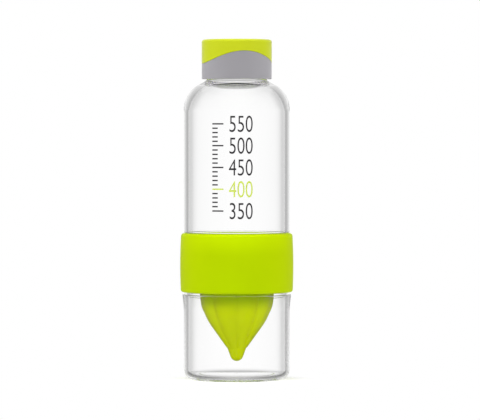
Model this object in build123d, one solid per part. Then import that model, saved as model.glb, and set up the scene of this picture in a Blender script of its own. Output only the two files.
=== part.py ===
from build123d import *
from math import cos, pi, radians, sin, sqrt, tan
import os

# Fruit infuser bottle, in millimetres and degrees. The origin is the middle of the base, on
# the surface that it stands on. Every turned piece has +Z as its axis, up to the cap.
# -Y is the front.

# Clear walls of the bottle and of the base cup
body_radius = 36.0
wall = 3.0
base_thickness = 3.0
base_corner_round = 7.0
floor_corner_round = 4.0
foot_ring_width = 3.0
recess_depth = 0.8
gate_mark_radius = 1.4
gate_mark_height = 0.4
edge_round = 0.6

# Base cup
cup_height = 58.1
cup_flare = 1.0
cup_flare_height = 9.0
flare_blend_round = 40.0

# Wide threaded finish, alike on top of the cup and at the foot of the bottle
finish_inset = 1.9
finish_wall = 2.3
finish_height = 18.2
finish_bore_rise = 1.5
finish_blend_height = 2.5
wide_thread_rise = 6.0
wide_thread_depth = 1.1
wide_thread_root = 2.2
wide_thread_crest = 0.9
wide_thread_lead = 12.0
wide_thread_starts = 3
finish_thread_turn_share = 0.42
socket_thread_turn_share = 0.3
thread_clearance = 0.3

# Collar that joins the cup and the bottle
cup_gap = 1.5
bottle_gap = 0.5
web_thickness = 2.4
collar_foot_wall = 2.55
collar_mid_wall = 3.0
collar_top_wall = 2.35
collar_widest_share = 0.36
collar_lead_in = 0.3
collar_foot_land = 0.55
collar_top_land = 0.05

# Reamer with its strainer flange, clipped into the collar's web
reamer_wall = 2.0
reamer_slope = 36.0
reamer_side_round = 44.0
nose_height = 21.8
nose_radius = 7.0
nub_radius = 6.5
nub_slope = 20.0
tip_height = 12.6
ridge_count = 9
ridge_turn = -22.0
valley_share = 0.93
section_count = 17
flange_thickness = 1.4
flange_seat_width = 1.4
insert_clearance = 0.1
skirt_wall = 1.0
clip_count = 6
clip_height = 1.4
clip_reach = 0.5
clip_arc = 14.0
slot_count = 24
slot_length = 2.0
slot_width = 3.5
slot_margin = 0.7

# Seals
seal_thickness = 1.6
seal_clearance = 0.3
cap_seal_thickness = 1.5
cap_seal_overhang = 0.9

# Bottle
side_height = 94.5
shoulder_slope = 30.5
shoulder_inner_slope = 28.0
shoulder_round_share = 1.16
neck_radius = 20.5
neck_wall = 2.9
neck_foot_round = 1.0
neck_inner_round = 3.0
neck_thread_rise = 12.0
neck_thread_depth = 0.9
neck_thread_root = 1.8
neck_thread_crest = 0.8
neck_thread_lead = 7.0
neck_thread_starts = 2
neck_thread_turn_share = 0.62
cap_thread_turn_share = 0.45

# Cap: a threaded body under a pressed-on cover that meets it along a wavy edge
cap_gap = 0.6
cap_height = 26.9
cap_core_wall = 1.05
cap_skirt_step = 1.0
cap_body_top = 1.6
cap_foot_round = 0.7
cover_step = 0.1
cover_top = 1.4
cover_round = 1.9
cover_clearance = 0.1
wave_height = 14.7
wave_swing = 4.2
wave_turn = 13.4
wave_gap = 0.15

# Extra length of a cutting tool past what it cuts
overrun = 5.0

# Heights, from the base up
cup_rim = cup_height + finish_height
web_bottom = cup_rim + seal_thickness
web_top = web_bottom + web_thickness
bottle_rim = web_top + seal_thickness
bottle_foot = bottle_rim + finish_height
collar_foot = cup_height + cup_gap
collar_top = bottle_foot - bottle_gap
flange_underside = web_top - flange_thickness
shoulder_corner = bottle_foot + side_height
shoulder_climb = tan(radians(shoulder_slope))
shoulder_inner_climb = tan(radians(shoulder_inner_slope))
neck_foot = shoulder_corner + (body_radius - neck_radius) * shoulder_climb
cap_foot = neck_foot + cap_gap
cap_top = cap_foot + cap_height
cover_underside = cap_top - cover_top
cap_ceiling = cover_underside - cap_body_top
neck_rim = cap_ceiling - cap_seal_thickness

# Radii that follow from the sizes above
inner_radius = body_radius - wall
recess_radius = body_radius - base_corner_round - foot_ring_width
finish_radius = body_radius - finish_inset
finish_bore = finish_radius - finish_wall
neck_bore = neck_radius - neck_wall
shoulder_round = (body_radius - neck_radius) * shoulder_round_share
shoulder_inner_round = (inner_radius - neck_bore) * shoulder_round_share
socket_radius = finish_radius + wide_thread_depth + thread_clearance
collar_foot_radius = socket_radius + collar_foot_wall
collar_mid_radius = socket_radius + collar_mid_wall
collar_top_radius = socket_radius + collar_top_wall
collar_foot_round = collar_foot_wall - collar_lead_in - collar_foot_land
collar_top_round = collar_top_wall - collar_lead_in - collar_top_land
cap_bore = neck_radius + neck_thread_depth + thread_clearance
cap_core_radius = cap_bore + cap_core_wall
cap_radius = cap_core_radius + cap_skirt_step
cover_radius = cap_radius + cover_step
flange_radius = finish_bore - seal_clearance
web_bore = flange_radius - flange_seat_width
skirt_radius = web_bore - insert_clearance
skirt_bore = skirt_radius - skirt_wall
slot_outer = skirt_bore - slot_margin
slot_inner = slot_outer - slot_length
reamer_radius = slot_inner - slot_margin


def turned(points, rounds=None, arc=360):
    """A solid turned about the Z axis from the (radius, height) corners of its outline."""
    corners = [(radius, 0, height) for radius, height in points]
    if rounds is None:
        outline = Wire.make_polygon(corners, close=True)
    else:
        outline = Wire(FilletPolyline(*corners, radius=rounds, close=True).edges())
    return Solid.revolve(Face(outline), arc, Axis.Z)


def ring(bore, radius, bottom, top):
    """A ring or, with no bore, a disc."""
    return turned([(bore, bottom), (radius, bottom), (radius, top), (bore, top)])


def rounds_at(corner_count, rounds):
    """A rounding for every corner of an outline, zero where none is named."""
    return [rounds.get(corner, 0) for corner in range(corner_count)]


def threads(radius, depth, root, crest, lead, starts, turn_share):
    """Right-hand helical ridges round the Z axis, which start at height zero and climb.

    They stand on a wall of the given radius, outwards or, with a depth below zero,
    inwards. Their flanks run on into the wall by half of their depth.
    """
    sink = depth / 2
    sunk_half_width = root / 2 + (root - crest) / 2 * sink / depth
    section = Wire.make_polygon(
        [
            (radius - sink, 0, -sunk_half_width),
            (radius + depth, 0, -crest / 2),
            (radius + depth, 0, crest / 2),
            (radius - sink, 0, sunk_half_width),
        ]
    )
    path = Wire([Edge.make_helix(lead, lead * turn_share, radius)])
    ridge = Solid.sweep(Face(section), path, is_frenet=True)
    return [Rot(0, 0, 360 * start / starts) * ridge for start in range(starts)]


def wide_threads(radius, depth, turn_share):
    """The ridges of a finish, or of a socket, whose shoulder is at height zero."""
    return threads(
        radius,
        depth,
        wide_thread_root,
        wide_thread_crest,
        wide_thread_lead,
        wide_thread_starts,
        turn_share,
    )


def neck_threads(radius, depth, turn_share):
    """The ridges of the neck, or of the cap, whose foot is at height zero."""
    return threads(
        radius,
        depth,
        neck_thread_root,
        neck_thread_crest,
        neck_thread_lead,
        neck_thread_starts,
        turn_share,
    )


def with_ridges(body, ridges, place):
    """A body with threads fused on, moved to their place."""
    for ridge in ridges:
        body = body + place * ridge
    return body


# A finish stands on its shoulder: the cup's points up and the bottle's points down.
# The socket's ridges lie half a pitch nearer the shoulder than the finish's own.
wide_pitch = wide_thread_lead / wide_thread_starts
neck_pitch = neck_thread_lead / neck_thread_starts
cup_finish = Pos(0, 0, cup_height)
bottle_finish = Pos(0, 0, bottle_foot) * Rot(180, 0, 0)
finish_rise = Pos(0, 0, wide_thread_rise)
socket_rise = Pos(0, 0, wide_thread_rise - wide_pitch / 2)
neck_rise = Pos(0, 0, neck_foot + neck_thread_rise)
cap_rise = Pos(0, 0, neck_foot + neck_thread_rise - neck_pitch / 2)


def make_base_cup():
    """Clear cup: rounded foot, shallow recess under it, flared lip and threaded finish."""
    corners = [
        (0, recess_depth),
        (recess_radius - recess_depth, recess_depth),
        (recess_radius, 0),
        (body_radius, 0),
        (body_radius, cup_height - cup_flare_height),
        (body_radius + cup_flare, cup_height),
        (finish_radius, cup_height),
        (finish_radius, cup_rim),
        (finish_bore, cup_rim),
        (finish_bore, cup_height + finish_bore_rise + finish_blend_height),
        (inner_radius, cup_height + finish_bore_rise),
        (inner_radius, base_thickness),
        (0, base_thickness),
    ]
    rounds = {
        3: base_corner_round,
        4: flare_blend_round,
        5: edge_round,
        7: edge_round,
        8: edge_round,
        11: floor_corner_round,
    }
    cup = turned(corners, rounds_at(len(corners), rounds))
    gate_mark = ring(0, gate_mark_radius, recess_depth - gate_mark_height, base_thickness / 2)
    ridges = wide_threads(finish_radius, wide_thread_depth, finish_thread_turn_share)
    return with_ridges(cup + gate_mark, ridges, cup_finish * finish_rise)


def make_bottle():
    """Clear bottle: threaded mouth below, straight side, round shoulder and threaded neck."""
    inner_drop = wall / cos(radians(shoulder_slope)) - wall * shoulder_climb
    inner_corner = shoulder_corner - inner_drop
    corners = [
        (finish_bore, bottle_rim),
        (finish_radius, bottle_rim),
        (finish_radius, bottle_foot),
        (body_radius, bottle_foot),
        (body_radius, shoulder_corner),
        (neck_radius, neck_foot),
        (neck_radius, neck_rim),
        (neck_bore, neck_rim),
        (neck_bore, inner_corner + (inner_radius - neck_bore) * shoulder_inner_climb),
        (inner_radius, inner_corner),
        (inner_radius, bottle_foot - finish_bore_rise),
        (finish_bore, bottle_foot - finish_bore_rise - finish_blend_height),
    ]
    rounds = {
        0: edge_round,
        1: edge_round,
        3: edge_round,
        4: shoulder_round,
        5: neck_foot_round,
        6: edge_round,
        7: edge_round,
        8: neck_inner_round,
        9: shoulder_inner_round,
    }
    bottle = turned(corners, rounds_at(len(corners), rounds))
    ridges = wide_threads(finish_radius, wide_thread_depth, finish_thread_turn_share)
    bottle = with_ridges(bottle, ridges, bottle_finish * finish_rise)
    ridges = neck_threads(neck_radius, neck_thread_depth, neck_thread_turn_share)
    return with_ridges(bottle, ridges, neck_rise)


def make_collar():
    """Barrel-shaped collar with a threaded socket above and below a holed web."""
    height = collar_top - collar_foot
    foot = (collar_foot_radius, 0, collar_foot)
    widest = (collar_mid_radius, 0, collar_foot + height * collar_widest_share)
    top = (collar_top_radius, 0, collar_top)
    outline = [
        ThreePointArc(foot, widest, top),
        Line(top, (0, 0, collar_top)),
        Line((0, 0, collar_top), (0, 0, collar_foot)),
        Line((0, 0, collar_foot), foot),
    ]
    barrel = Solid.revolve(Face(Wire(outline)), 360, Axis.Z)
    foot_edge = barrel.edges().filter_by(GeomType.CIRCLE).sort_by(Axis.Z)[0]
    barrel = barrel.fillet(collar_foot_round, [foot_edge])
    top_edge = barrel.edges().filter_by(GeomType.CIRCLE).sort_by(Axis.Z)[-1]
    barrel = barrel.fillet(collar_top_round, [top_edge])
    mouth_radius = socket_radius + collar_lead_in
    for mouth, floor, outwards in ((collar_foot, web_bottom, -1), (collar_top, web_top, 1)):
        socket = [
            (0, mouth + outwards * overrun),
            (mouth_radius, mouth + outwards * overrun),
            (mouth_radius, mouth),
            (socket_radius, mouth - outwards * collar_lead_in),
            (socket_radius, floor),
            (0, floor),
        ]
        barrel = barrel - turned(socket)
    hole = ring(0, web_bore, web_bottom - overrun, web_top + overrun)
    seat = ring(0, flange_radius + insert_clearance, flange_underside, web_top + overrun)
    collar = barrel - hole - seat
    ridges = wide_threads(socket_radius, -wide_thread_depth, socket_thread_turn_share)
    collar = with_ridges(collar, ridges, cup_finish * socket_rise)
    return with_ridges(collar, ridges, bottle_finish * socket_rise)


def reamer_crest_radius(height):
    """How far the ridges reach at a height: a cone that rounds into a straight side."""
    climb = tan(radians(reamer_slope))
    corner = nose_height + (reamer_radius - nose_radius) / climb
    reach = reamer_side_round * tan(radians(reamer_slope) / 2)
    if height > corner + reach:
        return reamer_radius
    if height > corner - reach * cos(radians(reamer_slope)):
        fall = corner + reach - height
        return reamer_radius - reamer_side_round + sqrt(reamer_side_round**2 - fall**2)
    return nose_radius + (height - nose_height) * climb


def ridged_section(height):
    """One closed outline round the ridges: an arc over each, from valley to valley."""
    crest = reamer_crest_radius(height)
    valley = crest * valley_share
    step = 2 * pi / ridge_count
    arcs = []
    for ridge in range(ridge_count):
        middle = radians(ridge_turn - 90) + ridge * step
        start, over, end = [
            (radius * cos(angle), radius * sin(angle), height)
            for radius, angle in (
                (valley, middle - step / 2),
                (crest, middle),
                (valley, middle + step / 2),
            )
        ]
        arcs.append(ThreePointArc(start, over, end))
    return Wire(arcs)


def make_reamer():
    """Hollow ridged cone that points down from a slotted flange with a clip skirt."""
    rise = (flange_underside - nose_height) / (section_count - 1)
    sections = [ridged_section(nose_height + step * rise) for step in range(section_count)]
    cone = Solid.make_loft(sections)

    nub_angle = radians(nub_slope)
    nub_length = nose_height - tip_height
    tip_reach = (nub_radius - nub_length * tan(nub_angle)) * cos(nub_angle)
    tip_round = tip_reach / (1 - sin(nub_angle))

    def on_tip(angle):
        return (tip_round * cos(angle), 0, tip_height + tip_round - tip_round * sin(angle))

    tip = (0, 0, tip_height)
    nub_outline = [
        Line((0, 0, nose_height), (nub_radius, 0, nose_height)),
        Line((nub_radius, 0, nose_height), on_tip(nub_angle)),
        ThreePointArc(on_tip(nub_angle), on_tip((nub_angle + pi / 2) / 2), tip),
        Line(tip, (0, 0, nose_height)),
    ]
    nub = Solid.revolve(Face(Wire(nub_outline)), 360, Axis.Z)

    flange = ring(0, flange_radius, flange_underside, web_top)
    clip_foot = web_bottom - clip_height
    skirt = ring(skirt_bore, skirt_radius, clip_foot, flange_underside)
    reamer = cone + nub + flange + skirt
    clip = turned(
        [
            (skirt_bore, clip_foot),
            (skirt_radius, clip_foot),
            (web_bore + clip_reach, web_bottom),
            (skirt_bore, web_bottom),
        ],
        arc=clip_arc,
    )
    for number in range(clip_count):
        reamer = reamer + Rot(0, 0, 360 * number / clip_count) * clip

    slot = Box(slot_length, slot_width, flange_thickness + overrun)
    slot = Pos((slot_inner + slot_outer) / 2, 0, web_top - flange_thickness / 2) * slot
    for number in range(slot_count):
        reamer = reamer - Rot(0, 0, 360 * number / slot_count) * slot
    return reamer - reamer_hollow()


def reamer_hollow():
    """The space inside the reamer, one wall in from the valleys and open at the top."""
    climb = tan(radians(reamer_slope)) * valley_share
    wall_across = reamer_wall * sqrt(1 + climb**2)
    side_radius = reamer_radius * valley_share - reamer_wall
    floor = nose_height + reamer_wall
    floor_radius = nose_radius * valley_share + reamer_wall * climb - wall_across
    corners = [
        (0, floor),
        (floor_radius, floor),
        (side_radius, floor + (side_radius - floor_radius) / climb),
        (side_radius, web_top + overrun),
        (0, web_top + overrun),
    ]
    rounds = {2: reamer_side_round * valley_share - reamer_wall}
    return turned(corners, rounds_at(len(corners), rounds))


def make_wide_seal(bottom):
    """Flat silicone ring between a wide finish and the collar's web."""
    return ring(finish_bore + seal_clearance / 2, finish_radius, bottom, bottom + seal_thickness)


def make_cap_seal():
    """Flat silicone ring under the cap's ceiling, on the neck's rim."""
    bore = neck_bore - cap_seal_overhang
    return ring(bore, cap_bore - seal_clearance, neck_rim, cap_ceiling)


def above_wave(lift):
    """All that lies above the cap's wavy parting surface.

    The surface is a saddle, ruled by straight lines. On a cylinder about the Z axis it
    rises and falls twice in a turn.
    """
    half = cover_radius + overrun
    middle = cap_foot + wave_height + lift
    swing = 2 * wave_swing * (half / cover_radius) ** 2
    low, high = middle - swing, middle + swing
    left = Edge.make_line((-half, -half, high), (-half, half, low))
    right = Edge.make_line((half, -half, low), (half, half, high))
    saddle = Face.make_surface_from_curves(left, right)
    block = Solid.extrude(saddle, Vector(0, 0, cap_height + overrun))
    return Rot(0, 0, wave_turn + 45) * block


def make_cap_body():
    """Threaded cap body, full width below the wave and one cover thinner above it."""
    corners = [
        (0, cap_ceiling),
        (cap_bore, cap_ceiling),
        (cap_bore, cap_foot),
        (cap_radius, cap_foot),
        (cap_radius, cover_underside),
        (0, cover_underside),
    ]
    body = turned(corners, rounds_at(len(corners), {3: cap_foot_round}))
    sleeve = ring(cap_core_radius, cover_radius + overrun, cap_foot, cap_top)
    body = body - (sleeve & above_wave(0))
    ridges = neck_threads(cap_bore, -neck_thread_depth, cap_thread_turn_share)
    return with_ridges(body, ridges, cap_rise)


def make_cap_cover():
    """Domed-edge cover over the cap body, cut along the same wave with a fine gap."""
    inner = cap_core_radius + cover_clearance
    corners = [
        (0, cover_underside),
        (inner, cover_underside),
        (inner, cap_foot),
        (cover_radius, cap_foot),
        (cover_radius, cap_top),
        (0, cap_top),
    ]
    cover = turned(corners, rounds_at(len(corners), {4: cover_round}))
    return cover & above_wave(wave_gap)


def main():
    pieces = {
        "base_cup": make_base_cup(),
        "cup_seal": make_wide_seal(cup_rim),
        "collar": make_collar(),
        "reamer": make_reamer(),
        "bottle_seal": make_wide_seal(web_top),
        "bottle": make_bottle(),
        "cap_seal": make_cap_seal(),
        "cap_body": make_cap_body(),
        "cap_cover": make_cap_cover(),
    }
    os.makedirs("parts", exist_ok=True)
    for name, piece in pieces.items():
        export_step(piece, f"parts/{name}.step")
        print(name, round(piece.volume), len(piece.solids()))


if __name__ == "__main__":
    main()
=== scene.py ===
import math

import bmesh
import bpy
from mathutils import Matrix, Vector


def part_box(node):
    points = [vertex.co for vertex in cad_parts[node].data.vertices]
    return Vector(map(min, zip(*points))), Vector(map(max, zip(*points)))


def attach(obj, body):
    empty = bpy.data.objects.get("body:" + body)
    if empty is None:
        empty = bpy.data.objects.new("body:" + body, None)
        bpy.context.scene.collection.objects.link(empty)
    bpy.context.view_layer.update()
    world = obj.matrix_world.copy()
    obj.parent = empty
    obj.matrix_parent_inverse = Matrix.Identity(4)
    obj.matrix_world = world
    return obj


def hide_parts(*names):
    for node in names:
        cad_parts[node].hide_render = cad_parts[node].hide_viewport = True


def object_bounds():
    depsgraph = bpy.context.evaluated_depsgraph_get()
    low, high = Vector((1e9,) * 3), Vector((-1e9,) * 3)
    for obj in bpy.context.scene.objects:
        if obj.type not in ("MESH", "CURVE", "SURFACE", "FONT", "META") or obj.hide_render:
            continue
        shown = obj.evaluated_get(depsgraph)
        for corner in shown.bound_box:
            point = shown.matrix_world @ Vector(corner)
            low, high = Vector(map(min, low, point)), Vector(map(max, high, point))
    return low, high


# Fruit infuser bottle: clear bottle, cap, collar with a citrus reamer, and a clear fruit cup.
# Sizes in the dictionaries are millimetres and degrees; meshes are in metres.
# Every turned piece has +Z as its axis, and -Y is the front.

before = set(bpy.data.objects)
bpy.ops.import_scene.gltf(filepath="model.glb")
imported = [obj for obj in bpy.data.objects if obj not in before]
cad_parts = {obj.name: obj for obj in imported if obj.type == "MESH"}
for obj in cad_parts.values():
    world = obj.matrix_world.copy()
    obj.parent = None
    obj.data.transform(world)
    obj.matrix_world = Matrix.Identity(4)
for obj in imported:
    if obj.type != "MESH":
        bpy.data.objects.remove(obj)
cadLow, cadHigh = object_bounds()
mm = 0.001
print("frame loaded:", ", ".join(sorted(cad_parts)))


# Sizes that the pieces share

common = {
    "sectors": 16,
    "sectorColumns": 16,
    "arcStep": 7.5,  # degrees of an outline's arc in one face
    "wall": 3.0,
    "edgeRound": 0.6,
    "seatRound": 0.4,
    "smallRound": 0.2,
    "insertClearance": 0.1,  # round the reamer's flange and its clips
    "threadRunOut": 0.05,  # of a turn, in which a thread's end fades out
    "nearby": 0.01,  # how close a vertex lies to a size that it belongs to
    "mergeDistance": 0.002,
    "sharpAngle": 35.0,  # an edge that turns further looks sharp
}

wideFinish = {
    "inset": 1.9,  # from the outside of the body to the finish
    "wall": 2.3,
    "height": 18.2,
    "boreRise": 1.5,  # shoulder to where the inside starts to narrow
    "blend": 2.5,
    "blendRound": 2.0,
    "rise": 6.0,  # shoulder to the start of a thread
    "depth": 1.1,
    "root": 2.2,
    "crest": 0.9,
    "lead": 12.0,
    "starts": 3,
    "turns": 0.42,
    "socketTurns": 0.3,
    "clearance": 0.3,
    "row": 0.3,  # face height where a thread runs
}

neckFinish = {
    "depth": 0.9,
    "root": 1.8,
    "crest": 0.8,
    "lead": 7.0,
    "starts": 2,
    "rise": 12.0,
    "turns": 0.62,
    "capTurns": 0.45,
    "clearance": 0.3,
    "row": 0.25,
}


def nodeSpan(node):
    # A node's largest radius, lowest height and highest height, in mm
    low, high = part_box(node)
    return high.x / mm, low.z / mm, high.z / mm


bottleRadius, bottleRim, neckRim = nodeSpan("bottle")
cupRim = nodeSpan("base_cup")[2]
collarFoot, collarTop = nodeSpan("collar")[1:]
flangeRadius, reamerTip, flangeTop = nodeSpan("reamer")
capRadius, capFoot, capBodyTop = nodeSpan("cap_body")
coverRadius, _, coverTop = nodeSpan("cap_cover")
capSealRadius, capSealLow, capCeiling = nodeSpan("cap_seal")

innerRadius = bottleRadius - common["wall"]
finishRadius = bottleRadius - wideFinish["inset"]
finishBore = finishRadius - wideFinish["wall"]
socketRadius = finishRadius + wideFinish["depth"] + wideFinish["clearance"]
bottleFoot = bottleRim + wideFinish["height"]
cupShoulder = cupRim - wideFinish["height"]


# Colours and materials


def linear(hexCode):
    # sRGB hex to the linear values that a shader takes
    channels = [int(hexCode[i : i + 2], 16) / 255 for i in (1, 3, 5)]
    return [c / 12.92 if c <= 0.04045 else ((c + 0.055) / 1.055) ** 2.4 for c in channels] + [1.0]


def evenGrey(value):
    # One linear value for red, green and blue
    return (value, value, value, 1)


def addNode(tree, kind, settings=None, links=None):
    node = tree.nodes.new(kind)
    for name, value in (settings or {}).items():
        if isinstance(name, int) or name in node.inputs:
            node.inputs[name].default_value = value
        else:
            setattr(node, name, value)
    for name, source in (links or {}).items():
        tree.links.new(source, node.inputs[name])
    return node


def newMaterial(name):
    material = bpy.data.materials.new(name)
    material.use_nodes = True
    material.node_tree.nodes.clear()
    return material, material.node_tree


def finishMaterial(tree, shader):
    addNode(tree, "ShaderNodeOutputMaterial", links={"Surface": shader.outputs[0]})


clearPlastic = {"ior": 1.54, "glare": 0.1, "waveSize": 22.0, "waveDepth": 0.02}


def clearCopolyester():
    # Injection-blown clear copolyester: glassy, with the faint waviness of a moulded wall
    material, tree = newMaterial("clearCopolyester")
    place = addNode(tree, "ShaderNodeTexCoord")
    wave = addNode(
        tree,
        "ShaderNodeTexNoise",
        {"Scale": 1 / (clearPlastic["waveSize"] * mm), "Detail": 0.0},
        {"Vector": place.outputs["Object"]},
    )
    bump = addNode(
        tree,
        "ShaderNodeBump",
        {"Strength": 1.0, "Distance": clearPlastic["waveDepth"] * mm},
        {"Height": wave.outputs[0]},
    )
    shader = addNode(
        tree,
        "ShaderNodeBsdfPrincipled",
        {
            "Base Color": linear("#ffffff"),
            "Roughness": 0.0,
            "IOR": clearPlastic["ior"],
            "Transmission Weight": 1.0,
            "Specular Tint": evenGrey(clearPlastic["glare"]),
        },
        {"Normal": bump.outputs[0]},
    )
    finishMaterial(tree, shader)
    return material


moulded = {
    "ior": 1.49,
    "cloudSize": 30.0,
    "cloudDetail": 2.0,
    "grainDetail": 3.0,
    "grainStrength": 0.6,
    "roughnessSpread": 0.15,  # share by which the grain varies the roughness
    "glowReach": (3.0, 3.0, 0.6),  # how far red, green and blue light travel inside
}


def mouldedPlastic(name, look, paintedBand=None, paintedLining=None):
    # A moulded opaque plastic: two close shades in slow clouds, and a fine satin grain.
    # A painted band is a third shade that fades in between two heights, light and shadow painted
    # by height. A painted rim is one that fades in where the surface turns away from the eye,
    # painted shade and sheen. A painted lining is a pale shade inside a radius, which also paints
    # in light.
    # The grain is drawn coarser than a mould's real one, which would be too fine to show.
    material, tree = newMaterial(name)
    place = addNode(tree, "ShaderNodeTexCoord")
    clouds = addNode(
        tree,
        "ShaderNodeTexNoise",
        {"Scale": 1 / (moulded["cloudSize"] * mm), "Detail": moulded["cloudDetail"]},
        {"Vector": place.outputs["Object"]},
    )
    shade = addNode(
        tree,
        "ShaderNodeMix",
        {"data_type": "RGBA", 6: linear(look["dark"]), 7: linear(look["light"])},
        {0: clouds.outputs[0]},
    )
    # Painted light and shadow: a shade that fades in between two heights
    if paintedBand:
        hexCode, start, end = paintedBand
        parts = addNode(tree, "ShaderNodeSeparateXYZ", links={0: place.outputs["Object"]})
        fade = addNode(
            tree,
            "ShaderNodeMapRange",
            {"From Min": start * mm, "From Max": end * mm, "interpolation_type": "SMOOTHSTEP"},
            {"Value": parts.outputs["Z"]},
        )
        shade = addNode(
            tree,
            "ShaderNodeMix",
            {"data_type": "RGBA", 7: linear(hexCode)},
            {0: fade.outputs[0], 6: shade.outputs[2]},
        )
    # Painted shade and sheen: a shade set by the surface's angle to the eye
    if "rim" in look:
        turned = addNode(tree, "ShaderNodeLayerWeight")
        shade = addNode(
            tree,
            "ShaderNodeMix",
            {"data_type": "RGBA", 7: linear(look["rim"])},
            {0: turned.outputs["Facing"], 6: shade.outputs[2]},
        )
    # A pale shade painted inside a radius, which also paints light into a dim inside
    if paintedLining:
        hexCode, radius = paintedLining
        flat = addNode(
            tree,
            "ShaderNodeVectorMath",
            {"operation": "MULTIPLY", 1: (1, 1, 0)},
            {0: place.outputs["Object"]},
        )
        out = addNode(tree, "ShaderNodeVectorMath", {"operation": "LENGTH"}, {0: flat.outputs[0]})
        inside = addNode(
            tree,
            "ShaderNodeMath",
            {"operation": "LESS_THAN", 1: radius * mm},
            {0: out.outputs["Value"]},
        )
        shade = addNode(
            tree,
            "ShaderNodeMix",
            {"data_type": "RGBA", 7: linear(hexCode)},
            {0: inside.outputs[0], 6: shade.outputs[2]},
        )
    fine = addNode(
        tree,
        "ShaderNodeTexNoise",
        {"Scale": 1 / (look["grain"] * mm), "Detail": moulded["grainDetail"]},
        {"Vector": place.outputs["Object"]},
    )
    gloss = addNode(
        tree,
        "ShaderNodeMapRange",
        {
            "To Min": look["roughness"] * (1 - moulded["roughnessSpread"]),
            "To Max": look["roughness"] * (1 + moulded["roughnessSpread"]),
        },
        {"Value": fine.outputs[0]},
    )
    bump = addNode(
        tree,
        "ShaderNodeBump",
        {"Strength": moulded["grainStrength"], "Distance": look["grainDepth"] * mm},
        {"Height": fine.outputs[0]},
    )
    shader = addNode(
        tree,
        "ShaderNodeBsdfPrincipled",
        {
            "Specular IOR Level": look["specular"],
            "IOR": moulded["ior"],
            "Subsurface Weight": look.get("glow", 0.0),
            "Subsurface Radius": [reach * mm for reach in moulded["glowReach"]],
            "Subsurface Scale": 1.0,
        },
        {
            "Base Color": shade.outputs[2],
            "Roughness": gloss.outputs[0],
            "Normal": bump.outputs[0],
        },
    )
    finishMaterial(tree, shader)
    return material


collarPlastic = {
    "light": "#bddc00",
    "dark": "#b5d200",
    # painted shade: a deeper colour where the wall is seen at a slant
    "rim": "#b6ca00",
    # painted highlight: a paler upper wall, where light from above falls
    "upper": "#c8e600",
    "paintedUpperStart": 16.0,  # below the collar's top
    "paintedUpperEnd": 2.0,
    "roughness": 0.4,
    "specular": 0.02,
    "grain": 0.8,
    "grainDepth": 0.01,
    "glow": 0.1,
}


def limePolypropylene():
    # Moulded satin polypropylene. Its upper wall is painted paler, a painted highlight where light
    # from above falls, and its colour is painted deeper where the wall is seen at a slant: painted
    # shade.
    s = collarPlastic
    upper = (s["upper"], collarTop - s["paintedUpperStart"], collarTop - s["paintedUpperEnd"])
    return mouldedPlastic("limePolypropylene", s, paintedBand=upper)


pressPlastic = {
    # yellower and brighter than the collar: painted light passing the thin wall
    "light": "#daec00",
    "dark": "#d0e000",
    # painted shade: darker where the wall stands at a slant, on the ridges' sides
    "rim": "#9aa400",
    # painted shadow of the collar over the reamer's top
    "upper": "#9cbc00",
    "paintedUpperStart": 13.0,  # below the collar's foot
    "roughness": 0.25,
    "specular": 0.02,
    "grain": 0.8,
    "grainDepth": 0.01,
}


def limePressPlastic():
    # The same plastic in the thinner reamer, given a yellower, brighter colour that paints in the
    # light passing its thin wall. Its top near the collar is painted darker, a painted shadow of
    # the collar, and where the wall stands at a slant it is painted darker, a painted shade that
    # makes the ridges' sides look darker.
    s = pressPlastic
    upper = (s["upper"], collarFoot - s["paintedUpperStart"], collarFoot)
    return mouldedPlastic("limePressPolypropylene", s, paintedBand=upper)


coverPlastic = {
    "light": "#cad522",
    "dark": "#c6d11e",
    "roughness": 0.3,
    "specular": 0.2,
    "grain": 0.8,
    "grainDepth": 0.01,
}


def limeCoverPlastic():
    # Moulded ABS, harder and glossier than the collar: the room's light in its skin makes the
    # lime look paler
    return mouldedPlastic("limeCoverAbs", coverPlastic)


greyPlastic = {
    "light": "#9f9da2",
    "dark": "#979599",
    # painted sheen: paler where the cap's sides are seen at a slant
    "rim": "#adabb0",
    # painted pale inside: a guessed lining, which also paints in light
    "paintedLining": "#f4f0f6",
    "paintedLiningDepth": 0.1,
    "roughness": 0.4,
    "specular": 0.5,
    "grain": 0.5,
    "grainDepth": 0.015,
}


def greyPolypropylene():
    # Its colour is painted paler where the surface is seen at a slant, a painted sheen on the
    # cap's sides. The inside of the cap is painted pale, a guessed pale lining whose paleness also
    # paints in light.
    s = greyPlastic
    return mouldedPlastic("greyPolypropylene", s, paintedLining=(s["paintedLining"], capBore + s["paintedLiningDepth"]))


sealSilicone = {
    "light": "#e4e6e2",
    "dark": "#dadcd8",
    "roughness": 0.5,
    "specular": 0.4,
    "grain": 0.6,
    "grainDepth": 0.01,
    "glow": 0.4,
}


def milkySilicone():
    # Soft moulded silicone: light soaks in and comes back out, which makes it look milky
    return mouldedPlastic("milkySilicone", sealSilicone)


ink = {
    "charcoal": "#2b292c",
    "lime": "#d2e45a",
    "speckSize": 0.7,
    "speckDetail": 2.0,
    "speckRange": (0.3, 0.7),
    "roughness": (0.5, 0.7),
    "specular": 0.3,
}


def printInk(name, hexCode):
    # Screen-printed ink: matt and even, with pinholes of thinner ink that dull it a little,
    # drawn coarser than real ones so that they show
    material, tree = newMaterial(name)
    place = addNode(tree, "ShaderNodeTexCoord")
    speck = addNode(
        tree,
        "ShaderNodeTexNoise",
        {"Scale": 1 / (ink["speckSize"] * mm), "Detail": ink["speckDetail"]},
        {"Vector": place.outputs["Object"]},
    )
    low, high = ink["speckRange"]
    smooth, rough = ink["roughness"]
    thin = addNode(
        tree,
        "ShaderNodeMapRange",
        {"From Min": low, "From Max": high, "To Min": smooth, "To Max": rough},
        {"Value": speck.outputs[0]},
    )
    shader = addNode(
        tree,
        "ShaderNodeBsdfPrincipled",
        {"Base Color": linear(hexCode), "Specular IOR Level": ink["specular"]},
        {"Roughness": thin.outputs[0]},
    )
    finishMaterial(tree, shader)
    return material


# Turned pieces


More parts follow.
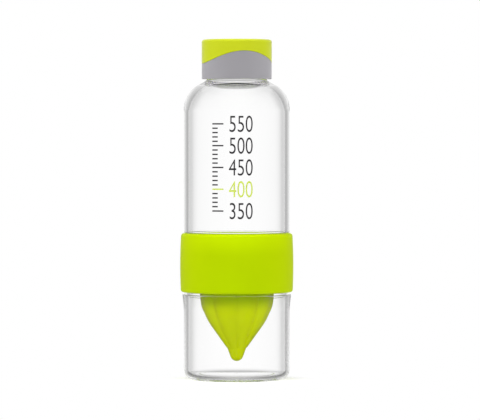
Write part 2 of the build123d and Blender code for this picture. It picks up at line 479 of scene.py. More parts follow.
def roundOutline(corners):
    # Corners are (radius, height, rounding, face height up to the next corner); the last
    # two may be left out. Returns the (radius, height) points with each rounding as an arc.
    count = len(corners)
    full = [(*corner, 0.0, 0.0)[:4] for corner in corners]
    stretches = []
    for i, (radius, height, rounding, _) in enumerate(full):
        here = Vector((radius, height))
        if not rounding:
            stretches.append([here])
            continue
        before = (Vector(full[i - 1][:2]) - here).normalized()
        after = (Vector(full[(i + 1) % count][:2]) - here).normalized()
        opening = before.angle(after)
        reach = rounding / math.tan(opening / 2)
        start, end = here + before * reach, here + after * reach
        centre = here + (before + after).normalized() * rounding / math.sin(opening / 2)
        sweep = math.pi - opening
        if (start - centre).angle_signed(end - centre) < 0:
            sweep = -sweep
        steps = max(2, math.ceil(abs(math.degrees(sweep)) / common["arcStep"]))
        spoke = start - centre
        arc = [centre + Matrix.Rotation(-sweep * k / steps, 2) @ spoke for k in range(steps + 1)]
        stretches.append(arc)
    points = []
    for i, stretch in enumerate(stretches):
        points += stretch
        face = full[i][3]
        if face:
            following = stretches[(i + 1) % count][0]
            rows = max(1, round((following - stretch[-1]).length / face))
            points += [stretch[-1].lerp(following, k / rows) for k in range(1, rows)]
    return points


def threadReach(finish, turns, angle, height):
    # How far a thread stands out at an angle and a height above the finish's shoulder
    reach = 0.0
    runOut = common["threadRunOut"]
    for start in range(finish["starts"]):
        turn = (angle / math.tau - start / finish["starts"]) % 1.0
        if turn > turns:
            continue
        away = abs(height - finish["rise"] - finish["lead"] * turn)
        flank = (finish["root"] - finish["crest"]) / 2
        share = min(1.0, max(0.0, (finish["root"] / 2 - away) / flank))
        fade = min(1.0, turn / runOut, (turns - turn) / runOut)
        reach = max(reach, finish["depth"] * share * math.sin(fade * math.pi / 2))
    return reach


def nearby(measure, size):
    # Whether a vertex belongs to a size
    return abs(measure - size) < common["nearby"]


def spinRound(mesh, geom, sectors, columns):
    # One sector is spun, then copied round, which is much quicker than a single full spin
    turn = math.tau / sectors
    around = {"cent": (0, 0, 0), "axis": (0, 0, 1)}
    bmesh.ops.spin(mesh, geom=geom, angle=turn, steps=columns, **around)
    sector = mesh.verts[:] + mesh.edges[:] + mesh.faces[:]
    bmesh.ops.spin(
        mesh, geom=sector, angle=math.tau - turn, steps=sectors - 1, use_duplicate=True, **around
    )
    bmesh.ops.remove_doubles(mesh, verts=mesh.verts, dist=common["mergeDistance"] * mm)
    bmesh.ops.recalc_face_normals(mesh, faces=mesh.faces)


def turnPiece(name, points, shape=None):
    # Spins an outline round Z; one that starts on the axis ends there too, so it isn't closed.
    # Shape may then move each vertex, given as angle, radius, height.
    mesh = bmesh.new()
    chain = [mesh.verts.new((point.x * mm, 0, point.y * mm)) for point in points]
    edges = [mesh.edges.new(pair) for pair in zip(chain, chain[1:])]
    if not nearby(points[0].x, 0):
        edges.append(mesh.edges.new((chain[-1], chain[0])))
    spinRound(mesh, chain + edges, common["sectors"], common["sectorColumns"])
    if shape:
        for vert in mesh.verts:
            angle = math.atan2(vert.co.y, vert.co.x)
            radius, height = math.hypot(vert.co.x, vert.co.y) / mm, vert.co.z / mm
            radius, height = shape(angle, radius, height)
            vert.co = Vector((radius * math.cos(angle), radius * math.sin(angle), height)) * mm
    return finishPiece(name, mesh)


def finishPiece(name, mesh):
    # Smooth faces that meet at sharp edges, made an object of the scene
    for face in mesh.faces:
        face.smooth = True
    for edge in mesh.edges:
        if len(edge.link_faces) == 2:
            edge.smooth = edge.calc_face_angle(0.0) < math.radians(common["sharpAngle"])
    data = bpy.data.meshes.new(name)
    mesh.to_mesh(data)
    mesh.free()
    piece = bpy.data.objects.new(name, data)
    bpy.context.scene.collection.objects.link(piece)
    weighted = piece.modifiers.new("weightedNormals", "WEIGHTED_NORMAL")
    weighted.keep_sharp = True
    return piece


def dress(piece, body, material, slot, *nodes):
    piece.data.materials.append(material)
    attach(piece, body)
    if nodes:
        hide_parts(*nodes)
    print(piece.name, "made:", len(piece.data.polygons), "faces")
    return piece


def letLightThrough(piece):
    # Lamps and bounced light pass a clear wall, so what is inside is lit
    piece.visible_shadow = False
    piece.visible_diffuse = False


# Clear cup

cupShape = {
    "baseThickness": 3.0,
    "baseRound": 7.0,
    "floorRound": 4.0,
    "footRing": 3.0,
    "footRingRound": 0.5,
    "recess": 0.8,
    "gateRadius": 1.4,
    "gateHeight": 0.4,
    "gateRound": 0.15,
    "flare": 1.0,
    "flareHeight": 9.0,
    "flareRound": 40.0,
}


def makeCup():
    s, edge = cupShape, common["edgeRound"]
    recessRadius = bottleRadius - s["baseRound"] - s["footRing"]
    boreStart = cupShoulder + wideFinish["boreRise"]
    corners = [
        (0, s["recess"] - s["gateHeight"]),
        (s["gateRadius"], s["recess"] - s["gateHeight"], s["gateRound"]),
        (s["gateRadius"], s["recess"]),
        (recessRadius - s["recess"], s["recess"], s["footRingRound"]),
        (recessRadius, 0, s["footRingRound"]),
        (bottleRadius, 0, s["baseRound"]),
        (bottleRadius, cupShoulder - s["flareHeight"], s["flareRound"]),
        (bottleRadius + s["flare"], cupShoulder, edge),
        (finishRadius, cupShoulder, 0, wideFinish["row"]),
        (finishRadius, cupRim, edge),
        (finishBore, cupRim, edge),
        (finishBore, boreStart + wideFinish["blend"], wideFinish["blendRound"]),
        (innerRadius, boreStart, wideFinish["blendRound"]),
        (innerRadius, s["baseThickness"], s["floorRound"]),
        (0, s["baseThickness"]),
    ]

    def addThreads(angle, radius, height):
        if nearby(radius, finishRadius) and height > cupShoulder + common["nearby"]:
            radius += threadReach(wideFinish, wideFinish["turns"], angle, height - cupShoulder)
        return radius, height

    cup = turnPiece("fruit_cup", roundOutline(corners), shape=addThreads)
    letLightThrough(dress(cup, "base", clear, "clear_plastic", "base_cup"))


# Clear bottle

bottleShape = {
    "shoulderSlope": 30.5,
    "innerSlope": 28.0,
    "roundShare": 1.16,  # of the shoulder's run from the neck to the side
    "neckRadius": 20.5,
    "neckWall": 2.9,
    "neckFootRound": 1.0,
    "neckInnerRound": 3.0,
    "neckFootBelowCap": 0.6,
}
neckFoot = capFoot - bottleShape["neckFootBelowCap"]
neckRadius = bottleShape["neckRadius"]
neckBore = neckRadius - bottleShape["neckWall"]


def makeBottle():
    s, edge, wall = bottleShape, common["edgeRound"], common["wall"]
    slope = math.radians(s["shoulderSlope"])
    climb = math.tan(slope)
    innerClimb = math.tan(math.radians(s["innerSlope"]))
    corner = neckFoot - (bottleRadius - neckRadius) * climb
    innerCorner = corner - wall / math.cos(slope) + wall * climb
    boreStart = bottleFoot - wideFinish["boreRise"]
    corners = [
        (finishBore, bottleRim, edge),
        (finishRadius, bottleRim, edge, wideFinish["row"]),
        (finishRadius, bottleFoot),
        (bottleRadius, bottleFoot, edge),
        (bottleRadius, corner, s["roundShare"] * (bottleRadius - neckRadius)),
        (neckRadius, neckFoot, s["neckFootRound"], neckFinish["row"]),
        (neckRadius, neckRim, edge),
        (neckBore, neckRim, edge),
        (neckBore, innerCorner + (innerRadius - neckBore) * innerClimb, s["neckInnerRound"]),
        (innerRadius, innerCorner, s["roundShare"] * (innerRadius - neckBore)),
        (innerRadius, boreStart, wideFinish["blendRound"]),
        (finishBore, boreStart - wideFinish["blend"], wideFinish["blendRound"]),
    ]

    def addThreads(angle, radius, height):
        if nearby(radius, finishRadius) and height < bottleFoot - common["nearby"]:
            radius += threadReach(wideFinish, wideFinish["turns"], -angle, bottleFoot - height)
        if nearby(radius, neckRadius) and height > neckFoot:
            radius += threadReach(neckFinish, neckFinish["turns"], angle, height - neckFoot)
        return radius, height

    bottle = turnPiece("clear_bottle", roundOutline(corners), shape=addThreads)
    letLightThrough(dress(bottle, "bottle_body", clear, "clear_plastic", "bottle"))


# Collar

collarShape = {
    "footWall": 2.55,
    "midWall": 3.0,
    "topWall": 2.35,
    "widestShare": 0.36,  # of the collar's height, where its barrel is widest
    "barrelSteps": 16,
    "footRound": 1.7,
    "topRound": 2.0,
    "leadIn": 0.3,
    "webSeatDepth": 1.4,
    "holeInset": 1.4,
    "sealThickness": 1.6,
}
webBottom = cupRim + collarShape["sealThickness"]
webTop = bottleRim - collarShape["sealThickness"]
webHole = flangeRadius - collarShape["holeInset"]


def arcThrough(low, middle, high, steps):
    # Points of the circle through three (radius, height) points, from low to high
    (ax, ay), (bx, by), (cx, cy) = low, middle, high
    spread = 2 * (ax * (by - cy) + bx * (cy - ay) + cx * (ay - by))
    aa, bb, cc = ax * ax + ay * ay, bx * bx + by * by, cx * cx + cy * cy
    x = (aa * (by - cy) + bb * (cy - ay) + cc * (ay - by)) / spread
    y = (aa * (cx - bx) + bb * (ax - cx) + cc * (bx - ax)) / spread
    size = math.hypot(ax - x, ay - y)
    start, end = math.asin((ay - y) / size), math.asin((cy - y) / size)
    turns = [start + (end - start) * k / steps for k in range(steps + 1)]
    return [(x + size * math.cos(turn), y + size * math.sin(turn)) for turn in turns]


def makeCollar():
    s = collarShape
    widest = collarFoot + (collarTop - collarFoot) * s["widestShare"]
    barrel = arcThrough(
        (socketRadius + s["footWall"], collarFoot),
        (socketRadius + s["midWall"], widest),
        (socketRadius + s["topWall"], collarTop),
        s["barrelSteps"],
    )
    mouth = socketRadius + s["leadIn"]
    seat = flangeRadius + common["insertClearance"]
    corners = [
        (*barrel[0], s["footRound"]),
        *barrel[1:-1],
        (*barrel[-1], s["topRound"]),
        (mouth, collarTop),
        (socketRadius, collarTop - s["leadIn"], 0, wideFinish["row"]),
        (socketRadius, webTop, common["seatRound"]),
        (seat, webTop, common["smallRound"]),
        (seat, webTop - s["webSeatDepth"]),
        (webHole, webTop - s["webSeatDepth"]),
        (webHole, webBottom),
        (socketRadius, webBottom, common["seatRound"], wideFinish["row"]),
        (socketRadius, collarFoot + s["leadIn"]),
        (mouth, collarFoot),
    ]
    pitch = wideFinish["lead"] / wideFinish["starts"]

    def addThreads(angle, radius, height):
        if nearby(radius, socketRadius):
            upper = height > flangeTop
            turned = -angle if upper else angle
            above = bottleFoot - height if upper else height - cupShoulder
            radius -= threadReach(wideFinish, wideFinish["socketTurns"], turned, above + pitch / 2)
        return radius, height

    collar = turnPiece("lime_collar", roundOutline(corners), shape=addThreads)
    dress(collar, "press_collar", lime, "lime_plastic", "collar")


# Reamer and its strainer flange

reamerShape = {
    "radius": 25.6,
    "wall": 2.0,
    "slope": 36.0,
    "sideRound": 44.0,
    "noseHeight": 21.8,
    "noseRadius": 7.0,
    "nubRadius": 6.5,
    "nubSlope": 20.0,
    "ridges": 9,
    "ridgeTurn": -22.0,
    "valleyShare": 0.93,
    "wallAcross": 1.2,  # level width of the slanted wall as a share of its thickness
    "seam": 0.02,  # from the nub's last ring to the cone's first
    "tipSteps": 8,
    "rows": 72,
    "innerStep": 4,  # rows of the outside to one of the inside
}


def reamerReach(height):
    # Radius of the ridge crests at a height: a cone that rounds into a straight side
    s = reamerShape
    slope = math.radians(s["slope"])
    corner = s["noseHeight"] + (s["radius"] - s["noseRadius"]) / math.tan(slope)
    reach = s["sideRound"] * math.tan(slope / 2)
    if height > corner + reach:
        return s["radius"]
    if height > corner - reach * math.cos(slope):
        fall = corner + reach - height
        return s["radius"] - s["sideRound"] + math.sqrt(s["sideRound"] ** 2 - fall**2)
    return s["noseRadius"] + (height - s["noseHeight"]) * math.tan(slope)


def ridgeShare(angle):
    # Radius at an angle as a share of the crest's: one arc over each ridge, valley to valley
    s = reamerShape
    step = math.tau / s["ridges"]
    middle = math.radians(s["ridgeTurn"] - 90)
    away = (angle - middle + step / 2) % step - step / 2
    valley = s["valleyShare"]
    centre = (1 - valley**2) / (2 * (1 - valley * math.cos(step / 2)))
    return centre * math.cos(away) + math.sqrt((1 - centre) ** 2 - (centre * math.sin(away)) ** 2)


def makeReamer():
    s = reamerShape
    # The nub is a cone that ends in a ball tangent to it
    slope = math.radians(s["nubSlope"])
    nubLength = s["noseHeight"] - reamerTip
    tipReach = (s["nubRadius"] - nubLength * math.tan(slope)) * math.cos(slope)
    tipRound = tipReach / (1 - math.sin(slope))
    tipCentre = reamerTip + tipRound
    outline = []
    for k in range(s["tipSteps"] + 1):
        turn = math.pi / 2 - (math.pi / 2 - slope) * k / s["tipSteps"]
        outline.append(Vector((tipRound * math.cos(turn), tipCentre - tipRound * math.sin(turn))))
    outline.append(Vector((s["nubRadius"], s["noseHeight"] - s["seam"])))
    rise = (flangeTop - s["noseHeight"]) / s["rows"]
    heights = [s["noseHeight"] + rise * k for k in range(s["rows"] + 1)]
    outline += [Vector((reamerReach(height), height)) for height in heights]
    across = s["wall"] * s["wallAcross"]
    inside = [
        Vector((reamerReach(height) * s["valleyShare"] - across, height + s["wall"]))
        for height in heights[: -2 : s["innerStep"]]
    ]
    inside[-1].y = flangeTop
    outline += [Vector((point.x, min(point.y, flangeTop))) for point in reversed(inside)]
    outline.append(Vector((0, s["noseHeight"] + s["wall"])))

    def addRidges(angle, radius, height):
        onCone = height > s["noseHeight"] - common["nearby"]
        if onCone and nearby(radius, reamerReach(height)):
            radius *= ridgeShare(angle)
        return radius, height

    cone = turnPiece("reamer_cone", outline, shape=addRidges)
    dress(cone, "press_collar", limePress, "lime_plastic", "reamer")


flangeShape = {
    "thickness": 1.4,
    "innerShare": 0.92,  # of the reamer's radius, so that the flange runs into its wall
    "rimChamfer": 0.2,
    "slots": 24,
    "slotLength": 2.0,
    "slotMargin": 0.7,
    "slotColumns": 5,
    "columns": 10,  # faces from one slot to the next
    "skirtWall": 1.0,
    "clips": 6,
    "clipArc": 14.0,
    "clipHeight": 1.4,
    "clipReach": 0.5,
    "hookDrop": 0.02,  # from the web's underside to the ring that the hooks are drawn from
}
skirtRadius = webHole - common["insertClearance"]


def makeStrainer():
    # Slotted flange round the reamer: spun flat, its slots taken out, then thickened
    s = flangeShape
    slotOuter = skirtRadius - s["skirtWall"] - s["slotMargin"]
    slotInner = slotOuter - s["slotLength"]
    inner = reamerShape["radius"] * s["innerShare"]
    mesh = bmesh.new()
    radii = (inner, slotInner, slotOuter, flangeRadius - s["rimChamfer"], flangeRadius)
    chain = [mesh.verts.new((radius * mm, 0, flangeTop * mm)) for radius in radii]
    chain[-1].co.z -= s["rimChamfer"] * mm
    edges = [mesh.edges.new(pair) for pair in zip(chain, chain[1:])]
    spinRound(mesh, chain + edges, s["slots"], s["columns"])
    slots = []
    for face in mesh.faces:
        middle = face.calc_center_median()
        # Columns of faces are counted from one side of each slot
        column = math.atan2(middle.y, middle.x) / math.tau * s["slots"] * s["columns"]
        column = (column + s["slotColumns"] / 2) % s["columns"]
        radius = math.hypot(middle.x, middle.y) / mm
        if slotInner < radius < slotOuter and column < s["slotColumns"]:
            slots.append(face)
    bmesh.ops.delete(mesh, geom=slots, context="FACES")
    under = bmesh.ops.extrude_face_region(mesh, geom=mesh.faces[:])["geom"]
    for vert in under:
        if isinstance(vert, bmesh.types.BMVert):
            vert.co.z = (flangeTop - s["thickness"]) * mm
    bmesh.ops.recalc_face_normals(mesh, faces=mesh.faces)
    strainer = finishPiece("strainer_flange", mesh)
    dress(strainer, "press_collar", limePress, "lime_plastic")


def makeClipSkirt():
    # Ring under the flange, whose clips hook below the collar's web
    s = flangeShape
    inner = skirtRadius - s["skirtWall"]
    hook = skirtRadius + common["insertClearance"] + s["clipReach"]
    hookTop = webBottom - s["hookDrop"]
    foot = webBottom - s["clipHeight"]
    points = [
        (inner, foot, common["smallRound"]),
        (skirtRadius, foot, common["smallRound"]),
        (skirtRadius, hookTop),
        (skirtRadius, webBottom),
        (skirtRadius, flangeTop - s["thickness"]),
        (inner, flangeTop - s["thickness"]),
    ]
    step = math.tau / s["clips"]
    half = math.radians(s["clipArc"] / 2)

    def addClips(angle, radius, height):
        away = (angle - half) % step
        if nearby(height, hookTop) and min(away, step - away) < half:
            radius = hook
        return radius, height

    skirt = turnPiece("clip_skirt", roundOutline(points), shape=addClips)
    dress(skirt, "press_collar", limePress, "lime_plastic")


# Seals

sealShape = {"edgeRound": 0.25, "wideBoreInset": 0.15, "capBoreInset": 0.9, "faceGap": 0.01}


def makeSeal(ring, node, bore, radius, low, high):
    # Its faces stop just short of what they seal against, so that none lie in one plane
    edge, gap = sealShape["edgeRound"], sealShape["faceGap"]
    low, high = low + gap, high - gap
    corners = [(bore, low, edge), (radius, low, edge), (radius, high, edge), (bore, high, edge)]
    dress(turnPiece(ring, roundOutline(corners)), ring, silicone, "silicone", node)


def makeSeals():
    wideBore = finishBore + sealShape["wideBoreInset"]
    capSealBore = neckBore - sealShape["capBoreInset"]
    makeSeal("cup_seal_ring", "cup_seal", wideBore, finishRadius, cupRim, webBottom)
    makeSeal("bottle_seal_ring", "bottle_seal", wideBore, finishRadius, webTop, bottleRim)
    makeSeal("cap_seal_ring", "cap_seal", capSealBore, capSealRadius, capSealLow, capCeiling)


# Cap: a grey threaded body under a lime cover that meets it along a wave

capShape = {
    "coreWall": 1.05,
    "footRound": 0.7,
    "coverRound": 1.9,
    "coverClearance": 0.1,
    "waveHeight": 14.7,
    "waveCrests": 2,
    "waveSwing": 4.2,
    "waveTurn": 13.4,
    "waveGap": 0.15,
    "bodyEdge": 0.1,
    "coverEdge": 0.1,
}
capBore = neckRadius + neckFinish["depth"] + neckFinish["clearance"]


def waveRise(angle, radius):
    # How far the parting wave stands above its middle height, less near the axis
    s = capShape
    turned = angle + math.radians(90 - s["waveTurn"])
    return s["waveSwing"] * (radius / coverRadius) ** 2 * math.cos(s["waveCrests"] * turned)


def followWave(middle):
    # Moves the vertices of the parting edge, which the outline has at one height
    def shape(angle, radius, height):
        if abs(height - middle) < 2 * capShape["bodyEdge"]:
            height += waveRise(angle, radius)
        return radius, height

    return shape


def makeCap():
    s = capShape
    core = capBore + s["coreWall"]
    ledge = capFoot + s["waveHeight"]
    pitch = neckFinish["lead"] / neckFinish["starts"]
    wave = followWave(ledge)
    corners = [
        (0, capCeiling),
        (capBore, capCeiling, common["seatRound"], neckFinish["row"]),
        (capBore, capFoot, common["smallRound"]),
        (capRadius, capFoot, s["footRound"]),
        (capRadius, ledge, s["bodyEdge"]),
        (core, ledge),
        (core, capBodyTop, common["seatRound"]),
        (0, capBodyTop),
    ]

    def shapeBody(angle, radius, height):
        if nearby(radius, capBore):
            above = height - neckFoot + pitch / 2
            return radius - threadReach(neckFinish, neckFinish["capTurns"], angle, above), height
        return wave(angle, radius, height)

    body = turnPiece("cap_body_shell", roundOutline(corners), shape=shapeBody)
    dress(body, "cap", grey, "grey_plastic", "cap_body")
    edge = ledge + s["waveGap"]
    corners = [
        (0, capBodyTop),
        (core + s["coverClearance"], capBodyTop),
        (core + s["coverClearance"], edge),
        (coverRadius, edge, s["coverEdge"]),
        (coverRadius, coverTop, s["coverRound"]),
        (0, coverTop),
    ]
    cover = turnPiece("cap_cover_shell", roundOutline(corners), shape=followWave(edge))
    dress(cover, "cap", limeCover, "lime_cover_plastic", "cap_cover")


# Printed volume scale: plain numbers of millilitres at their fill heights

scaleShape = {
    "firstVolume": 350,
    "lastVolume": 550,
    "volumeBelow": 292.7,  # held up to where the bottle's straight inside begins
    "majorStep": 50,
    "minorStep": 10,
    "limeVolume": 400,
    "left": -17.0,
    "longTick": 8.0,
    "shortTick": 4.0,
    "tickWidth": 0.95,
    "numberLeft": -5.5,
    "numberHeight": 11.0,
    "numberNarrow": 0.7,
    "thinner": -0.005,
    "gap": 0.015,
    "thickness": 0.03,
    "bendStep": 0.8,
}


def fillHeight(volume):
    # Where the water stands: a millilitre, 1000 cubic mm, takes this much of the bore's height
    perMillilitre = 1000 / (math.pi * innerRadius**2)
    straight = bottleFoot - wideFinish["boreRise"]
    return straight + (volume - scaleShape["volumeBelow"]) * perMillilitre


def addNumber(mesh, text, left, middle):
    s = scaleShape
    curve = bpy.data.curves.new("number", "FONT")
    curve.body = text
    curve.size = 1.0
    curve.offset = s["thinner"]
    lettering = bpy.data.objects.new("number", curve)
    bpy.context.scene.collection.objects.link(lettering)
    bpy.context.view_layer.update()
    flat = bpy.data.meshes.new_from_object(lettering)
    low = min(vert.co.y for vert in flat.vertices)
    high = max(vert.co.y for vert in flat.vertices)
    grow = s["numberHeight"] / (high - low)
    fit = (
        Matrix.Translation((left, middle - s["numberHeight"] / 2, 0))
        @ Matrix.Diagonal((grow * s["numberNarrow"], grow, 1, 1))
        @ Matrix.Translation((0, -low, 0))
    )
    flat.transform(fit)
    mesh.from_mesh(flat)
    bpy.data.objects.remove(lettering)
    bpy.data.meshes.remove(flat)


def addTick(mesh, left, length, middle):
    half = scaleShape["tickWidth"] / 2
    corners = [(left, -half), (left + length, -half), (left + length, half), (left, half)]
    mesh.faces.new([mesh.verts.new((x, middle + y, 0)) for x, y in corners])


def printOnBottle(name, mesh, material):
    # Cuts the flat print into strips, thickens it and bends it round the bottle
    s = scaleShape
    low = min(vert.co.x for vert in mesh.verts)
    high = max(vert.co.x for vert in mesh.verts)
    for k in range(1, math.ceil((high - low) / s["bendStep"])):
        everything = mesh.verts[:] + mesh.edges[:] + mesh.faces[:]
        bmesh.ops.bisect_plane(
            mesh, geom=everything, plane_co=(low + k * s["bendStep"], 0, 0), plane_no=(1, 0, 0)
        )
    lifted = bmesh.ops.extrude_face_region(mesh, geom=mesh.faces[:])["geom"]
    bmesh.ops.translate(
        mesh,
        verts=[item for item in lifted if isinstance(item, bmesh.types.BMVert)],
        vec=(0, 0, s["thickness"]),
    )
    for vert in mesh.verts:
        radius = bottleRadius + s["gap"] + vert.co.z
        turn = vert.co.x / bottleRadius
        vert.co = Vector((radius * math.sin(turn), -radius * math.cos(turn), vert.co.y)) * mm
    bmesh.ops.recalc_face_normals(mesh, faces=mesh.faces)
    dress(finishPiece(name, mesh), "bottle_body", material, "clear_plastic")


def makeScale():
    s = scaleShape
    dark, bright = bmesh.new(), bmesh.new()
    for volume in range(s["firstVolume"], s["lastVolume"] + 1, s["minorStep"]):
        height = fillHeight(volume)
        mesh = bright if volume == s["limeVolume"] else dark
        major = volume % s["majorStep"] == 0
        addTick(mesh, s["left"], s["longTick"] if major else s["shortTick"], height)
        if major:
            addNumber(mesh, str(volume), s["numberLeft"], height)
    printOnBottle("scale_charcoal", dark, charcoalInk)
    printOnBottle("scale_lime", bright, limeInk)


# Stage, light and camera

studio = {
    "ambient": 0.24,
    # The room's greys, each at a share of half a turn. Through the clear walls they are
    # counted sideways from the middle: a white sweep, grey flags beside it, the pale room.
    # In gloss they are counted from straight behind the bottle.
    "seenThrough": [(0.0, 1.0), (0.03, 0.96), (0.09, 0.62), (0.2, 0.42), (0.28, 0.85), (0.5, 0.95)],
    "mirrored": [(0.0, 1.0), (0.3, 0.6), (0.52, 0.35), (0.62, 0.9), (0.75, 0.2), (1.0, 0.1)],
    "ceiling": (0.15, 0.75),  # rise of a mirrored ray in which the room turns white
    "below": (-0.08, -0.3),  # fall of a bent ray in which the room turns dark
    "belowShade": 0.5,
    "floorSize": 6000.0,
    "floorDrop": 0.2,
    "floorGrey": 0.9,
    "floorTopUp": 0.25,
    "shadowFade": (36.0, 56.0),  # from the axis, where the floor turns plain white
}

shot = {
    "distance": 2400.0,  # camera to the bottle's axis
    "height": 163.0,  # eye level, where rims turn from underside to top
    "tilt": 1.137,  # degrees down
    "aside": 2.2,  # camera to the right of the axis
    "lens": 264.6,
    "sensor": 36.0,
}


def setStops(node, stops):
    # Gives a colour ramp a smooth run of greys, each at a share from 0 to 1
    node.color_ramp.interpolation = "EASE"
    elements = node.color_ramp.elements
    while len(elements) < len(stops):
        elements.new(0.5)
    for element, (place, value) in zip(elements, stops):
        element.position = place
        element.color = evenGrey(value)


def makeWorld():
    world = bpy.data.worlds.new("studio")
    bpy.context.scene.world = world
    world.use_nodes = True
    tree = world.node_tree
    tree.nodes.clear()
    path = addNode(tree, "ShaderNodeLightPath")
    place = addNode(tree, "ShaderNodeTexCoord")
    parts = addNode(tree, "ShaderNodeSeparateXYZ", links={0: place.outputs["Generated"]})
    turn = addNode(tree, "ShaderNodeMath", {"operation": "ARCCOSINE"}, {0: parts.outputs["Y"]})
    halfTurn = {"operation": "DIVIDE", 1: math.pi}
    around = addNode(tree, "ShaderNodeMath", halfTurn, {0: turn.outputs[0]})
    side = addNode(tree, "ShaderNodeMath", {"operation": "ABSOLUTE"}, {0: parts.outputs["X"]})
    lean = addNode(tree, "ShaderNodeMath", {"operation": "ARCSINE"}, {0: side.outputs[0]})
    aside = addNode(tree, "ShaderNodeMath", halfTurn, {0: lean.outputs[0]})
    above = addNode(
        tree,
        "ShaderNodeMapRange",
        {
            "From Min": studio["ceiling"][0],
            "From Max": studio["ceiling"][1],
            "interpolation_type": "SMOOTHSTEP",
        },
        {"Value": parts.outputs["Z"]},
    )
    through = addNode(tree, "ShaderNodeValToRGB", links={0: aside.outputs[0]})
    setStops(through, studio["seenThrough"])
    below = addNode(
        tree,
        "ShaderNodeMapRange",
        {
            "From Min": studio["below"][0],
            "From Max": studio["below"][1],
            "To Max": studio["belowShade"],
            "interpolation_type": "SMOOTHSTEP",
        },
        {"Value": parts.outputs["Z"]},
    )
    through = addNode(
        tree,
        "ShaderNodeMix",
        {"data_type": "RGBA", 7: evenGrey(0)},
        {0: below.outputs[0], 6: through.outputs[0]},
    )
    gloss = addNode(tree, "ShaderNodeValToRGB", links={0: around.outputs[0]})
    setStops(gloss, studio["mirrored"])
    gloss = addNode(
        tree,
        "ShaderNodeMix",
        {"data_type": "RGBA", 7: evenGrey(1)},
        {0: above.outputs[0], 6: gloss.outputs[0]},
    )
    colour = addNode(
        tree,
        "ShaderNodeMix",
        {"data_type": "RGBA", 6: evenGrey(studio["ambient"])},
        {0: path.outputs["Is Glossy Ray"], 7: gloss.outputs[2]},
    )
    colour = addNode(
        tree,
        "ShaderNodeMix",
        {"data_type": "RGBA"},
        {0: path.outputs["Is Transmission Ray"], 6: colour.outputs[2], 7: through.outputs[2]},
    )
    colour = addNode(
        tree,
        "ShaderNodeMix",
        {"data_type": "RGBA", 7: evenGrey(1)},
        {0: path.outputs["Is Camera Ray"], 6: colour.outputs[2]},
    )
    background = addNode(tree, "ShaderNodeBackground", links={"Color": colour.outputs[2]})
    addNode(tree, "ShaderNodeOutputWorld", links={"Surface": background.outputs[0]})


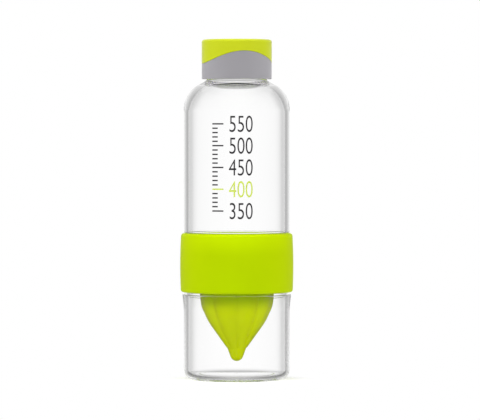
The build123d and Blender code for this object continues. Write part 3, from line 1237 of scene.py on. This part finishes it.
def makeFloor():
    # Matt white paper that shows the bottle's soft shadow near its foot and is plain white
    # further out
    mesh = bmesh.new()
    bmesh.ops.create_grid(mesh, x_segments=1, y_segments=1, size=studio["floorSize"] * mm / 2)
    bmesh.ops.translate(mesh, verts=mesh.verts, vec=(0, 0, -studio["floorDrop"] * mm))
    floor = finishPiece("floor", mesh)
    material, tree = newMaterial("paleSweep")
    path = addNode(tree, "ShaderNodeLightPath")
    paper = addNode(tree, "ShaderNodeBsdfDiffuse", {"Color": evenGrey(studio["floorGrey"])})
    topUp = addNode(tree, "ShaderNodeEmission", {"Strength": studio["floorTopUp"]})
    lit = addNode(tree, "ShaderNodeAddShader", links={0: paper.outputs[0], 1: topUp.outputs[0]})
    place = addNode(tree, "ShaderNodeTexCoord")
    away = addNode(
        tree, "ShaderNodeVectorMath", {"operation": "LENGTH"}, {0: place.outputs["Object"]}
    )
    fade = addNode(
        tree,
        "ShaderNodeMapRange",
        {
            "From Min": studio["shadowFade"][0] * mm,
            "From Max": studio["shadowFade"][1] * mm,
            "interpolation_type": "SMOOTHSTEP",
        },
        {"Value": away.outputs["Value"]},
    )
    white = addNode(tree, "ShaderNodeEmission")
    swept = addNode(
        tree,
        "ShaderNodeMixShader",
        links={0: fade.outputs[0], 1: lit.outputs[0], 2: white.outputs[0]},
    )
    seen = addNode(
        tree,
        "ShaderNodeMixShader",
        links={0: path.outputs["Is Camera Ray"], 1: paper.outputs[0], 2: swept.outputs[0]},
    )
    # Rays bent by the clear walls pass the floor, and so do all from under it
    side = addNode(tree, "ShaderNodeNewGeometry")
    passing = addNode(
        tree,
        "ShaderNodeMath",
        {"operation": "MAXIMUM"},
        {0: path.outputs["Is Transmission Ray"], 1: side.outputs["Backfacing"]},
    )
    nothing = addNode(tree, "ShaderNodeBsdfTransparent")
    shader = addNode(
        tree,
        "ShaderNodeMixShader",
        links={0: passing.outputs[0], 1: seen.outputs[0], 2: nothing.outputs[0]},
    )
    finishMaterial(tree, shader)
    floor.data.materials.append(material)


lamps = {
    "key": {"place": (-1400, -750, 1300), "size": (700, 1000), "watts": 20.0},
    "fill": {"place": (1500, -650, 1000), "size": (900, 900), "watts": 15.0},
    "top": {"place": (0, -300, 1500), "size": (900, 900), "watts": 10.0},
}


def makeLamps():
    middle = Vector((0, 0, (cadLow.z + cadHigh.z) / 2))
    for name, lamp in lamps.items():
        data = bpy.data.lights.new(name, "AREA")
        data.shape = "RECTANGLE"
        data.size, data.size_y = lamp["size"][0] * mm, lamp["size"][1] * mm
        data.energy = lamp["watts"]
        light = bpy.data.objects.new(name, data)
        # Lamps mirrored or bent in the clear walls would cut hard shapes into them
        light.visible_glossy = light.visible_transmission = False
        light.location = Vector(lamp["place"]) * mm
        light.rotation_euler = (middle - light.location).to_track_quat("-Z", "Y").to_euler()
        bpy.context.scene.collection.objects.link(light)


def makeCamera():
    data = bpy.data.cameras.new("camera")
    data.lens = shot["lens"]
    data.sensor_width = shot["sensor"]
    camera = bpy.data.objects.new("camera", data)
    camera.location = Vector((shot["aside"], -shot["distance"], shot["height"])) * mm
    camera.rotation_euler = (math.radians(90 - shot["tilt"]), 0, 0)
    bpy.context.scene.collection.objects.link(camera)
    bpy.context.scene.camera = camera


clear = clearCopolyester()
lime = limePolypropylene()
limePress = limePressPlastic()
limeCover = limeCoverPlastic()
grey = greyPolypropylene()
silicone = milkySilicone()
charcoalInk = printInk("charcoalInk", ink["charcoal"])
limeInk = printInk("limeInk", ink["lime"])
print("materials made")

makeCup()
makeBottle()
makeCollar()
makeReamer()
makeStrainer()
makeClipSkirt()
makeSeals()
makeCap()
makeScale()

makeWorld()
makeFloor()
makeLamps()
makeCamera()
print("floor, lamps and camera set")
bpy.context.scene.view_settings.view_transform = "Standard"

# Light crosses up to four clear walls and runs round inside their thick corners
cycles = bpy.context.scene.cycles
cycles.max_bounces = 38
cycles.transmission_bounces = 38
cycles.glossy_bounces = 30
cycles.transparent_max_bounces = 16
